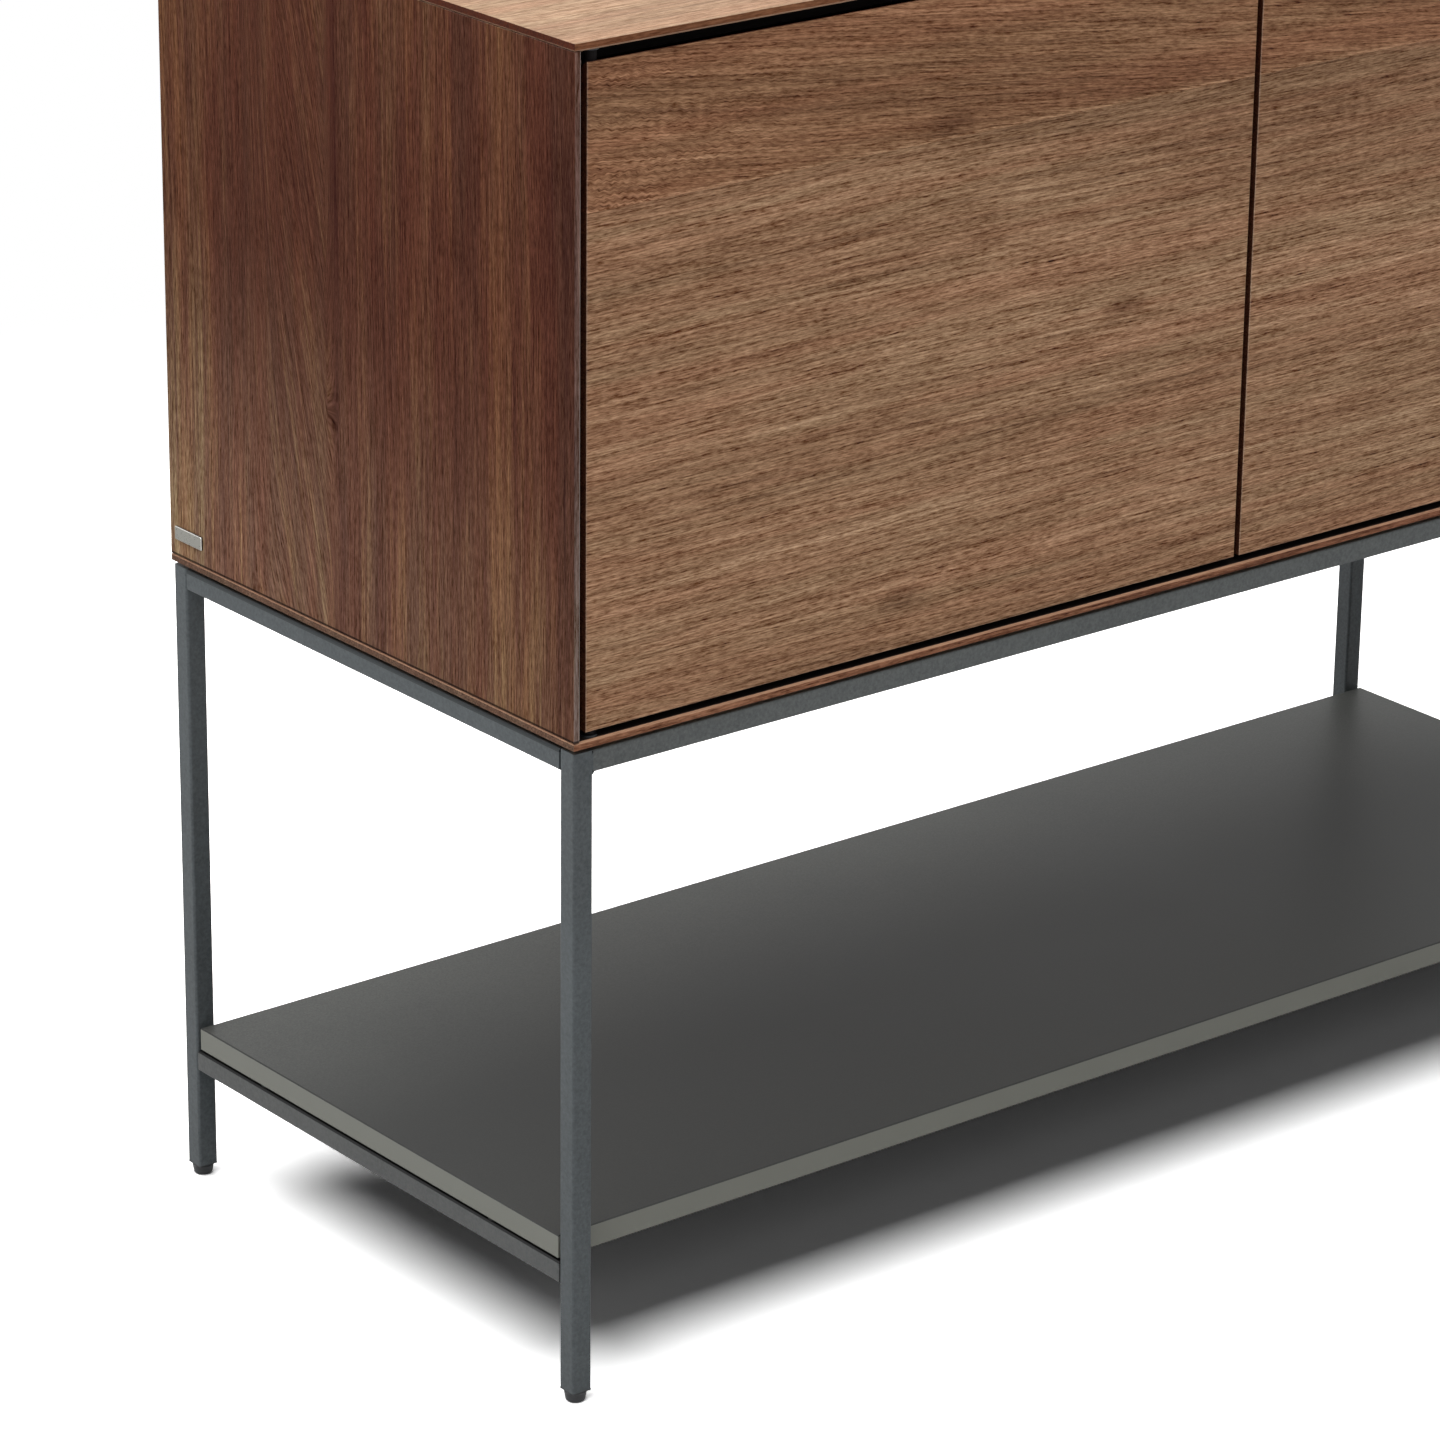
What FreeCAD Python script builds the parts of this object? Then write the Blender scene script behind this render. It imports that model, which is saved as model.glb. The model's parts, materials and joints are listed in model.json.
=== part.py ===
import FreeCAD, Part
import os
import re
import Sketcher

# Two-door credenza: a veneered case with thin rebated edges stands on a square-tube frame
# that carries a lower shelf.  Millimetres; X runs along the length, the doors face -Y and
# Z = 0 is the floor, under the middle of the case.

sizes = {
    # case
    "case_length": 1200,
    "case_depth": 480,
    "case_height": 480,
    "board": 18,                  # thickness of the carcass boards
    "edge_lip": 5.6,              # what the rebates leave of a board at its edges
    "rebate_depth": 22,           # depth of the front rebate that takes the doors
    "lip_arris": 1.4,             # chamfer on the inner edge of each lip
    "back_board": 8,
    "back_inset": 10,             # from the rear edges to the back panel
    "groove_depth": 6,
    "groove_play": 0.2,
    # doors
    "door_board": 18,
    "door_set_back": 1,           # door faces behind the lips
    "door_side_gap": 5.2,
    "door_middle_gap": 5,
    "door_top_gap": 7.5,
    "door_bottom_gap": 5.2,
    "grip_drop": 10,              # fall of the finger bevel on the top edge
    "door_arris": 0.6,
    "drill_over": 1,              # how much deeper a blind hole is than what goes in
    # pivot hinges
    "pivot_inset": 7,             # pivot axis from the door's edge and from its face
    "pivot_radius": 2.5,
    "pivot_shank_radius": 3,
    "pivot_shank_length": 20,
    "pivot_collar_radius": 4.5,
    "pivot_play": 0.3,            # between a collar and its bush
    "running_play": 0.05,         # radial, pin in bush
    "bush_radius": 4,
    "bush_depth": 4.2,            # body let into the lip
    "bush_flange_radius": 6,
    "bush_flange": 1.2,
    "fitting_play": 0.05,         # radial, fitting in its drilling
    # push latches
    "latch_drop": 50,             # axis below the top of the case
    "latch_travel": 3,
    "latch_length": 62,
    "latch_width": 13,
    "latch_tall": 18,
    "latch_corner": 1.5,
    "plunger_radius": 3.6,
    "plunger_length": 34,
    "plunger_bore_depth": 58,
    "plunger_play": 0.1,
    "tip_radius": 4.6,
    "tip_length": 3,
    "tip_edge": 0.6,
    "tip_gap": 0.3,               # from the tip to the strike plate
    "strike_long": 24,
    "strike_wide": 12,
    "strike_thick": 1,
    "spring_radius": 2.6,
    "spring_wire": 0.9,           # square wire, across the flats
    "spring_pitch": 7.5,
    "spring_play": 0.3,           # at each end of the spring
    "latch_screw_radius": 1.6,
    "latch_screw_head": 3,
    "latch_screw_crown": 1.6,     # height of the head above the housing
    "latch_screw_length": 7,      # in the partition
    "latch_screw_inset": 8,
    # inner shelves
    "inner_shelf_board": 18,
    "inner_shelf_height": 226,    # top of the pins above the underside of the case
    "inner_shelf_play": 1,
    "inner_shelf_set_back": 20,
    "pin_radius": 2.5,
    "pin_length": 16,
    "pin_hole_depth": 9,
    "pin_bed": 8.5,               # how far a pin is pushed in
    "pin_play": 0.05,
    "pin_column_inset": 40,
    "pin_pitch": 32,
    "pin_rows": 3,
    # knock-down fittings and dowels
    "cam_radius": 7.5,
    "cam_depth": 9.7,
    "cam_set_back": 24,           # cam axis from the end of the board
    "cam_inset": 62,              # from the front and rear edges of the case
    "cam_slot": 7.4,
    "cam_recess": 1.6,            # screwdriver slot
    "bolt_radius": 2.5,
    "bolt_head_radius": 3,
    "bolt_head": 2.4,
    "bolt_hold": 11,              # screwed into the side panel
    "dowel_radius": 3,
    "dowel_length": 30,
    "dowel_hold": 10,             # in the side panel, or in the top or bottom board
    "dowel_play": 0.1,
    "dowel_offset": 32,           # from a cam to the dowel beside it
    # blank plate on the left side
    "plate_long": 34,
    "plate_tall": 10,
    "plate_thick": 1.5,
    "plate_corner": 1,
    "plate_bevel": 0.4,
    "plate_rear_inset": 7,
    "plate_height": 18,           # above the underside of the case
    # frame
    "foot_height": 9,
    "frame_height": 474,          # from the lower ends of the legs to the top rails
    "frame_inset": 1,             # frame inside the case's outline
    "frame_gap": 3,               # case above the top rails
    "tube": 16,
    "tube_wall": 1.5,
    "tube_corner": 2,
    "rail_seam": 0.6,
    "lower_rail_height": 88,      # underside of the lower rails above the floor
    "weld_leg": 3,
    "cap_thick": 2,
    "cap_play": 0.1,
    "spigot_length": 30,
    "spigot_play": 0.2,
    "set_screw_inset": 15,
    "set_screw_radius": 2.5,
    "set_screw_socket": 1.4,      # radius of the hexagonal socket's corners
    "set_screw_hold": 6,          # in the spigot
    "hole_play": 0.3,             # radial, screw in tube wall
    # feet
    "insert_length": 22,
    "insert_play": 0.1,
    "insert_flange": 1,
    "flange_inset": 0.4,          # flange inside the tube's outline
    "stem_radius": 4,
    "stem_length": 24,            # above the glide
    "stem_hold": 5,               # in the glide
    "stem_play": 0.1,
    "stem_point": 1,              # chamfer at the stem's upper end
    "glide_top_radius": 8,
    "glide_foot_radius": 7,
    "glide_rim": 1.2,
    "glide_edge": 0.6,
    "glide_gap": 0.3,             # glide below the insert when screwed home
    # tabs on the top rails that carry the case
    "tab_wide": 24,
    "tab_lap": 8,                 # over the rail
    "tab_reach": 26,              # beyond the rail
    "tab_side": 105,              # from the middle, on the side rails
    "tab_long": 300,              # from the middle, on the front and back rails
    "case_screw_radius": 2.5,
    "case_screw_head_radius": 4.5,
    "case_screw_head": 2.8,
    "case_screw_hold": 11,        # in the bottom panel
    "case_screw_reach": 16,       # from the rail to the screw
    "screw_play": 0.05,
    "socket_floor": 1.1,          # metal left in a screw head under its socket
    # lower shelf
    "lower_shelf_board": 18,
    "lower_shelf_end_inset": 1.4,
    "lower_shelf_leg_gap": 3,
    "lower_shelf_arris": 0.8,
    "shelf_pad": 1,
    "shelf_pad_radius": 6,
    "shelf_screw_radius": 2,
    "shelf_screw_head_radius": 4,
    "shelf_screw_head": 2.6,
    "shelf_screw_hold": 11,
    "shelf_screw_span": 140,      # from the middle
}

# Derived places, as formulas on the sizes above.
frame_top = "(foot_height + frame_height)"
case_floor = f"({frame_top} + frame_gap)"
side = "(case_length / 2)"
front = "(-case_depth / 2)"
back = "(case_depth / 2)"
core_front = f"({front} + rebate_depth)"
core_mid = "((edge_lip + board) / 2)"                 # depth of the joint line in a board
inner_side = f"({side} - board)"
back_face = f"({back} - back_inset - back_board)"     # front face of the back panel
door_front = f"({front} + door_set_back)"
door_back = f"({door_front} + door_board)"
door_outer = f"({side} - edge_lip - door_side_gap)"
door_inner = "(door_middle_gap / 2)"
door_low = "(edge_lip + door_bottom_gap)"
door_high = "(case_height - edge_lip - door_top_gap)"
pivot_x = f"({door_outer} - pivot_inset)"
pivot_y = f"({door_front} + pivot_inset)"
cam_x = f"({inner_side} - cam_set_back)"
cam_rows = [f"({front} + cam_inset)", f"({back} - cam_inset)"]
dowel_rows = [f"({front} + cam_inset + dowel_offset)", f"({back} - cam_inset - dowel_offset)"]
pin_top = "(inner_shelf_height - pin_radius)"
pin_columns = [f"({core_front} + pin_column_inset)", f"({back_face} - pin_column_inset)"]
pin_lowest = f"({pin_top} - pin_pitch * (pin_rows - 1) / 2)"
tip_front = f"({door_back} + strike_thick + tip_gap)"
latch_front = f"({tip_front} + tip_length + latch_travel + tip_gap)"
latch_x = "(board / 2 + latch_width / 2)"
latch_height = "(case_height - latch_drop)"
leg_x = "(case_length / 2 - frame_inset - tube / 2)"
leg_y = "(case_depth / 2 - frame_inset - tube / 2)"
long_rail = f"(2 * {leg_x} - tube)"
side_rail = f"(2 * {leg_y} - tube - 2 * rail_seam)"
top_rail_z = f"({frame_top} - tube / 2)"
low_rail_z = "(lower_rail_height + tube / 2)"
shelf_floor = "(lower_rail_height + tube + shelf_pad)"
bore_side = "(tube - 2 * tube_wall)"

doc = FreeCAD.newDocument("credenza")
sheet = doc.addObject("Spreadsheet::Sheet", "dims")
for row, (alias, number) in enumerate(sizes.items(), 1):
    sheet.set(f"A{row}", alias)
    sheet.set(f"B{row}", str(number))
    sheet.setAlias(f"B{row}", alias)
doc.recompute()

parts = []      # every sub-part that is written out
z_axis = FreeCAD.Vector(0, 0, 1)
upright = FreeCAD.Rotation()
upside_down = FreeCAD.Rotation(FreeCAD.Vector(1, 0, 0), 180)
along_x = FreeCAD.Rotation(z_axis, FreeCAD.Vector(1, 0, 0))
against_x = FreeCAD.Rotation(z_axis, FreeCAD.Vector(-1, 0, 0))
along_y = FreeCAD.Rotation(z_axis, FreeCAD.Vector(0, 1, 0))


def bound(formula):
    # a formula on the sizes, as the expression engine reads it
    return re.sub(r"[a-z_]+", lambda word: f"dims.{word[0]}" if word[0] in sizes else word[0], formula)


def value(formula):
    return float(sheet.evalExpression(bound(formula)))


def tie(item, **formulas):
    for name, formula in formulas.items():
        item.setExpression(name, bound(formula))


def place(item, x="0", y="0", z="0", turn=upright):
    item.Placement = FreeCAD.Placement(FreeCAD.Vector(value(x), value(y), value(z)), turn)
    for axis, formula in zip("xyz", (x, y, z)):
        item.setExpression(f"Placement.Base.{axis}", bound(formula))


def keep(item, label):
    item.Label = label
    parts.append(item)
    return item


def new_body(name):
    return doc.addObject("PartDesign::Body", name)


def sketch_on(body, name, plane, lift="0"):
    sketch = body.newObject("Sketcher::SketchObject", f"{body.Name}_{name}")
    support = [item for item in body.Origin.OriginFeatures if item.Role == plane][0]
    sketch.AttachmentSupport = (support, [""])
    sketch.MapMode = "FlatFace"
    if lift != "0":
        sketch.AttachmentOffset = FreeCAD.Placement(FreeCAD.Vector(0, 0, value(lift)), upright)
        sketch.setExpression("AttachmentOffset.Base.z", bound(lift))
    return sketch


def measure(sketch, kind, item, point, formula):
    index = sketch.addConstraint(Sketcher.Constraint(kind, item, point, value(formula)))
    sketch.setExpression(f"Constraints[{index}]", bound(formula))


def outline(sketch, corners):
    # closed outline of straight edges, each corner held by its two distances
    first = sketch.GeometryCount
    points = [FreeCAD.Vector(value(u), value(v), 0) for u, v in corners]
    last = first + len(points) - 1
    for start, end in zip(points, points[1:] + points[:1]):
        sketch.addGeometry(Part.LineSegment(start, end), False)
    for item in range(first, last + 1):
        following = first if item == last else item + 1
        sketch.addConstraint(Sketcher.Constraint("Coincident", item, 2, following, 1))
    for item, (u, v) in enumerate(corners, first):
        measure(sketch, "DistanceX", item, 1, u)
        measure(sketch, "DistanceY", item, 1, v)
    return sketch


def rectangle(sketch, u_low, v_low, u_high, v_high):
    return outline(sketch, [(u_low, v_low), (u_high, v_low), (u_high, v_high), (u_low, v_high)])


def circles(sketch, centres, radius):
    for u, v in centres:
        centre = FreeCAD.Vector(value(u), value(v), 0)
        item = sketch.addGeometry(Part.Circle(centre, z_axis, value(radius)), False)
        measure(sketch, "DistanceX", item, 3, u)
        measure(sketch, "DistanceY", item, 3, v)
        index = sketch.addConstraint(Sketcher.Constraint("Radius", item, value(radius)))
        sketch.setExpression(f"Constraints[{index}]", bound(radius))
    return sketch


def pad(body, sketch, length, middle=False):
    feature = body.newObject("PartDesign::Pad", f"{sketch.Name}_pad")
    feature.Profile = sketch
    if middle:
        feature.SideType = "Symmetric"
    tie(feature, Length=length)
    doc.recompute()
    return feature


def pocket(body, sketch, length, backwards=False, middle=False):
    # cuts along the sketch's normal, or against it, and proves that material went
    before = body.Shape.Volume
    feature = body.newObject("PartDesign::Pocket", f"{sketch.Name}_cut")
    feature.Profile = sketch
    feature.Reversed = not backwards
    if middle:
        feature.SideType = "Symmetric"
    tie(feature, Length=length)
    doc.recompute()
    if not body.Shape.Volume < before - 0.01:
        raise RuntimeError(f"{feature.Name} cuts nothing")
    return feature


def turned(body, sketch):
    feature = body.newObject("PartDesign::Revolution", f"{sketch.Name}_turned")
    feature.Profile = sketch
    feature.ReferenceAxis = (sketch, ["V_Axis"])
    feature.Angle = 360
    doc.recompute()
    return feature


def mirrored(body, features, plane):
    support = [item for item in body.Origin.OriginFeatures if item.Role == plane][0]
    feature = body.newObject("PartDesign::Mirrored", f"{features[0].Name}_mirrored")
    feature.Originals = features
    feature.MirrorPlane = (support, [""])
    body.Tip = feature
    doc.recompute()
    return feature


def dress(body, kind, size, wanted):
    # a chamfer or fillet on the edges of the body's last feature whose box is wanted
    base = body.Tip
    names = [f"Edge{k}" for k, edge in enumerate(base.Shape.Edges, 1) if wanted(edge.BoundBox)]
    feature = body.newObject(f"PartDesign::{kind}", f"{base.Name}_{kind.lower()}")
    feature.Base = (base, names)
    tie(feature, **{"Size" if kind == "Chamfer" else "Radius": size})
    doc.recompute()
    return feature


def near(a, formula):
    return abs(a - value(formula)) < 0.001


def flat_at(low, high, formula):
    return near(low, formula) and near(high, formula)


def linked(name, source, places):
    # links to one source, each at its own place
    links = []
    for number, (x, y, z, turn) in enumerate(places, 1):
        link = doc.addObject("App::Link", f"{name}_{number}")
        link.LinkedObject = source
        link.LinkTransform = True
        place(link, x, y, z, turn)
        links.append(link)
    return links


def copies(label, source, places):
    # one node of identical pieces
    group = doc.addObject("Part::Compound", label)
    group.Links = linked(label, source, places)
    return keep(group, label)


def opposite(label, source):
    # the same piece for the other end of the credenza
    feature = doc.addObject("Part::Mirroring", label)
    feature.Source = source
    feature.Normal = FreeCAD.Vector(1, 0, 0)
    return keep(feature, label)


def both_ways(formula):
    return [formula, f"(-{formula})"]


# ---- case boards; their own origin is on the underside of the case, at its middle ----

def level_board(label, depth_from, inward):
    # top or bottom: a thin lip all round over a thicker core that fits between the sides.
    # depth_from(d) is the height at a depth d below the board's outer face.
    body = new_body(label)
    lip = sketch_on(body, "lip", "YZ_Plane")
    rectangle(lip, front, depth_from("0"), back, depth_from("edge_lip"))
    pad(body, lip, "case_length", middle=True)
    lip_face = depth_from("edge_lip")
    dress(
        body, "Chamfer", "lip_arris",
        lambda box: flat_at(box.ZMin, box.ZMax, lip_face) and not flat_at(box.YMin, box.YMax, back),
    )
    core = sketch_on(body, "core", "YZ_Plane")
    rectangle(core, core_front, lip_face, back, depth_from("board"))
    pad(body, core, f"2 * {inner_side}", middle=True)
    groove = sketch_on(body, "groove", "YZ_Plane")
    rectangle(
        groove, f"{back_face} - groove_play", depth_from("board - groove_depth"),
        f"{back_face} + back_board + groove_play", depth_from("board"),
    )
    pocket(body, groove, f"2 * {inner_side}", middle=True)
    # drillings for the cams, their bolts and the dowels at one end, mirrored to the other
    cams = circles(
        sketch_on(body, "cams", "XY_Plane", depth_from("board")),
        [(cam_x, y) for y in cam_rows], "cam_radius + fitting_play",
    )
    cam_cut = pocket(body, cams, "cam_depth", backwards=inward)
    bolts = circles(
        sketch_on(body, "bolts", "YZ_Plane", inner_side),
        [(y, depth_from(core_mid)) for y in cam_rows], "bolt_head_radius + hole_play",
    )
    bolt_cut = pocket(body, bolts, "cam_set_back", backwards=True)
    dowels = circles(
        sketch_on(body, "dowels", "YZ_Plane", inner_side),
        [(y, depth_from(core_mid)) for y in dowel_rows], "dowel_radius + dowel_play",
    )
    dowel_cut = pocket(body, dowels, "dowel_length - dowel_hold + drill_over", backwards=True)
    bushes = circles(
        sketch_on(body, "bushes", "XY_Plane", lip_face), [(pivot_x, pivot_y)], "bush_radius + fitting_play",
    )
    bush_cut = pocket(body, bushes, "bush_depth", backwards=inward)
    mirrored(body, [cam_cut, bolt_cut, dowel_cut, bush_cut], "YZ_Plane")
    middle = circles(
        sketch_on(body, "middle", "XY_Plane", depth_from("board")),
        [("0", y) for y in dowel_rows], "dowel_radius + dowel_play",
    )
    pocket(body, middle, "dowel_hold + drill_over", backwards=inward)
    place(body, z=case_floor)
    return keep(body, label)


def side_board():
    body = new_body("left_side_panel")
    outer, lip, inner = f"(-{side})", f"(-{side} + edge_lip)", f"(-{inner_side})"
    plan = sketch_on(body, "plan", "XY_Plane", "edge_lip")
    outline(plan, [
        (outer, front), (f"{lip} - lip_arris", front), (lip, f"{front} + lip_arris"), (lip, core_front),
        (inner, core_front), (inner, back), (outer, back),
    ])
    pad(body, plan, "case_height - 2 * edge_lip")
    groove = sketch_on(body, "groove", "XY_Plane", "edge_lip")
    rectangle(
        groove, f"{inner} - groove_depth", f"{back_face} - groove_play",
        inner, f"{back_face} + back_board + groove_play",
    )
    pocket(body, groove, "case_height - 2 * edge_lip")
    joint_rows = [core_mid, f"(case_height - {core_mid})"]
    bolts = circles(
        sketch_on(body, "bolts", "YZ_Plane", inner),
        [(y, z) for y in cam_rows for z in joint_rows], "bolt_radius + fitting_play",
    )
    pocket(body, bolts, "bolt_hold + drill_over", backwards=True)
    dowels = circles(
        sketch_on(body, "dowels", "YZ_Plane", inner),
        [(y, z) for y in dowel_rows for z in joint_rows], "dowel_radius + dowel_play",
    )
    pocket(body, dowels, "dowel_hold + drill_over", backwards=True)
    pin_holes(body, inner, "pin_hole_depth")
    place(body, z=case_floor)
    keep(body, "left_side_panel")
    opposite("right_side_panel", body)


def pin_holes(body, face, depth):
    # two columns of holes for the shelf pins, at an even pitch
    lowest = circles(
        sketch_on(body, "pins", "YZ_Plane", face),
        [(y, pin_lowest) for y in pin_columns], "pin_radius + pin_play",
    )
    first = pocket(body, lowest, depth, backwards=True)
    column = body.newObject("PartDesign::LinearPattern", f"{body.Name}_pin_column")
    column.Originals = [first]
    column.Direction = (lowest, ["V_Axis"])
    tie(column, Length="pin_pitch * (pin_rows - 1)", Occurrences="pin_rows")
    body.Tip = column
    doc.recompute()


def partition():
    body = new_body("centre_partition")
    plan = sketch_on(body, "plan", "XY_Plane", "board")
    rectangle(plan, "-board / 2", core_front, "board / 2", back_face)
    pad(body, plan, "case_height - 2 * board")
    for name, height, backwards in (("low", "board", False), ("high", "case_height - board", True)):
        dowels = circles(
            sketch_on(body, name, "XY_Plane", height),
            [("0", y) for y in dowel_rows], "dowel_radius + dowel_play",
        )
        pocket(body, dowels, "dowel_length - dowel_hold + drill_over", backwards=backwards)
    pin_holes(body, "board / 2", "board")
    pilots = circles(
        sketch_on(body, "pilots", "YZ_Plane", "board / 2"),
        latch_screw_places(), "latch_screw_radius + fitting_play",
    )
    pilot_cut = pocket(body, pilots, "latch_screw_length + drill_over", backwards=True)
    mirrored(body, [pilot_cut], "YZ_Plane")
    place(body, z=case_floor)
    keep(body, "centre_partition")


def back_panel():
    panel = doc.addObject("Part::Box", "back_panel")
    reach = "(groove_depth - groove_play)"
    tie(
        panel, Length=f"2 * ({inner_side} + {reach})", Width="back_board",
        Height=f"case_height - 2 * board + 2 * {reach}",
    )
    place(panel, f"-{inner_side} - {reach}", back_face, f"{case_floor} + board - {reach}")
    keep(panel, "back_panel")


def inner_shelf():
    shelf = doc.addObject("Part::Box", "right_inner_shelf")
    tie(
        shelf, Length=f"{inner_side} - board / 2 - 2 * inner_shelf_play",
        Width=f"{back_face} - {core_front} - inner_shelf_set_back - inner_shelf_play",
        Height="inner_shelf_board",
    )
    place(
        shelf, "board / 2 + inner_shelf_play", f"{core_front} + inner_shelf_set_back",
        f"{case_floor} + inner_shelf_height + pin_play",
    )
    opposite("left_inner_shelf", keep(shelf, "right_inner_shelf"))


def shelf_pins():
    pin = doc.addObject("Part::Cylinder", "shelf_pin")
    tie(pin, Radius="pin_radius", Height="pin_length")
    height = f"{case_floor} + {pin_top}"
    places = []
    for y in pin_columns:
        places.append((f"-{inner_side} - pin_bed", y, height, along_x))
        places.append((f"{inner_side} + pin_bed", y, height, against_x))
        places.append(("board / 2 - pin_bed", y, height, along_x))
        places.append(("pin_bed - board / 2", y, height, against_x))
    copies("shelf_pins", pin, places)


def dowels():
    dowel = doc.addObject("Part::Cylinder", "dowel")
    tie(dowel, Radius="dowel_radius", Height="dowel_length")
    places = []
    for y in dowel_rows:
        for z in (f"{case_floor} + {core_mid}", f"{case_floor} + case_height - {core_mid}"):
            places.append((f"-{inner_side} - dowel_hold", y, z, along_x))
            places.append((f"{inner_side} + dowel_hold", y, z, against_x))
        places.append(("0", y, f"{case_floor} + board - dowel_hold", upright))
        places.append(("0", y, f"{case_floor} + case_height - board + dowel_hold", upside_down))
    copies("panel_dowels", dowel, places)


def cams():
    # the cam's face is at its own Z = 0 and its slot opens towards +X, where the bolt comes in
    cam = new_body("cam")
    pad(cam, circles(sketch_on(cam, "disc", "XY_Plane"), [("0", "0")], "cam_radius"), "cam_depth")
    slot = sketch_on(cam, "slot", "XY_Plane", "cam_depth")
    rectangle(slot, "-cam_slot / 2", "-cam_slot / 2", "cam_radius + drill_over", "cam_slot / 2")
    pocket(cam, slot, f"cam_depth - (board - {core_mid}) + cam_slot / 2", backwards=True)
    recess = sketch_on(cam, "recess", "XY_Plane")
    rectangle(recess, "-cam_slot / 2", "-cam_recess / 2", "cam_slot / 2", "cam_recess / 2")
    pocket(cam, recess, "cam_recess / 2")
    low, high = f"{case_floor} + board", f"{case_floor} + case_height - board"
    half_turn = FreeCAD.Rotation(z_axis, 180)
    lengthways = FreeCAD.Rotation(FreeCAD.Vector(0, 1, 0), 180)
    places = []
    for y in cam_rows:
        places.append((cam_x, y, high, upright))
        places.append((f"-{cam_x}", y, high, half_turn))
        places.append((cam_x, y, low, upside_down))
        places.append((f"-{cam_x}", y, low, lengthways))
    copies("cam_locks", cam, places)


def cam_bolts():
    # turned bolt: thread, shank and head; its own Z runs from the side panel to the cam
    bolt = new_body("cam_bolt")
    reach = "(bolt_hold + cam_set_back)"
    profile = outline(sketch_on(bolt, "profile", "XZ_Plane"), [
        ("0", "0"), ("bolt_radius", "0"), ("bolt_radius", f"{reach} - bolt_head / 2"),
        ("bolt_head_radius", f"{reach} - bolt_head / 2"), ("bolt_head_radius", f"{reach} + bolt_head / 2"),
        ("0", f"{reach} + bolt_head / 2"),
    ])
    turned(bolt, profile)
    places = []
    for y in cam_rows:
        for z in (f"{case_floor} + {core_mid}", f"{case_floor} + case_height - {core_mid}"):
            places.append((f"{inner_side} + bolt_hold", y, z, against_x))
            places.append((f"-{inner_side} - bolt_hold", y, z, along_x))
    copies("cam_bolts", bolt, places)


# ---- doors and their fittings ----

def door():
    body = new_body("left_door")
    outer, inner = f"(-{door_outer})", f"(-{door_inner})"
    section = sketch_on(body, "section", "YZ_Plane", outer)
    outline(section, [
        (door_front, door_low), (door_back, door_low), (door_back, f"{door_high} - grip_drop"),
        (door_front, door_high),
    ])
    pad(body, section, f"{door_outer} - {door_inner}")
    dress(body, "Chamfer", "door_arris", lambda box: flat_at(box.YMin, box.YMax, door_front))
    axis = [(f"-{pivot_x}", pivot_y)]
    for name, height, shank, backwards in (
        ("low", door_low, "pivot_shank_length", False),
        ("high", door_high, "grip_drop + pivot_shank_length", True),
    ):
        bore = circles(sketch_on(body, name, "XY_Plane", height), axis, "pivot_shank_radius + fitting_play")
        pocket(body, bore, f"{shank} + drill_over", backwards=backwards)
    seat = circles(
        sketch_on(body, "seat", "XY_Plane", door_high), axis, "pivot_collar_radius + fitting_play",
    )
    pocket(body, seat, "grip_drop", backwards=True)
    place(body, z=case_floor)
    keep(body, "left_door")
    opposite("right_door", body)


def pivot_pin(name, collar, turn, height):
    # shank in the door, collar, and the journal that turns in the bush; its own Z points out of the door
    pin = new_body(name)
    end = f"{collar} + bush_flange + bush_depth"
    profile = outline(sketch_on(pin, "profile", "XZ_Plane"), [
        ("0", "-pivot_shank_length"), ("pivot_shank_radius", "-pivot_shank_length"),
        ("pivot_shank_radius", "0"), ("pivot_collar_radius", "0"), ("pivot_collar_radius", collar),
        ("pivot_radius", collar), ("pivot_radius", end), ("0", end),
    ])
    turned(pin, profile)
    place(pin, f"-{pivot_x}", pivot_y, height, turn)
    return pin


def pivots():
    high = pivot_pin(
        "top_pivot", "(grip_drop + door_top_gap - bush_flange - pivot_play)", upright,
        f"{case_floor} + {door_high} - grip_drop",
    )
    low = pivot_pin(
        "bottom_pivot", "(door_bottom_gap - bush_flange - pivot_play)", upside_down,
        f"{case_floor} + {door_low}",
    )
    pair = doc.addObject("Part::Compound", "left_pivot_pins")
    pair.Links = [high, low]
    keep(pair, "left_pivot_pins")
    opposite("right_pivot_pins", pair)
    # flanged bush, flange at its own Z = 0 and body above it
    bush = new_body("bush")
    profile = outline(sketch_on(bush, "profile", "XZ_Plane"), [
        ("pivot_radius + running_play", "-bush_flange"), ("bush_flange_radius", "-bush_flange"),
        ("bush_flange_radius", "0"), ("bush_radius", "0"), ("bush_radius", "bush_depth - fitting_play"),
        ("pivot_radius + running_play", "bush_depth - fitting_play"),
    ])
    turned(bush, profile)
    low_face, high_face = f"{case_floor} + edge_lip", f"{case_floor} + case_height - edge_lip"
    places = []
    for x in both_ways(pivot_x):
        places.append((x, pivot_y, high_face, upright))
        places.append((x, pivot_y, low_face, upside_down))
    copies("door_pivot_bushes", bush, places)


def latch_screw_places():
    rows = [f"{latch_front} + latch_screw_inset", f"{latch_front} + latch_length - latch_screw_inset"]
    return [(y, f"({latch_height} + latch_tall / 2 - latch_screw_head)") for y in rows]


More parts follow.
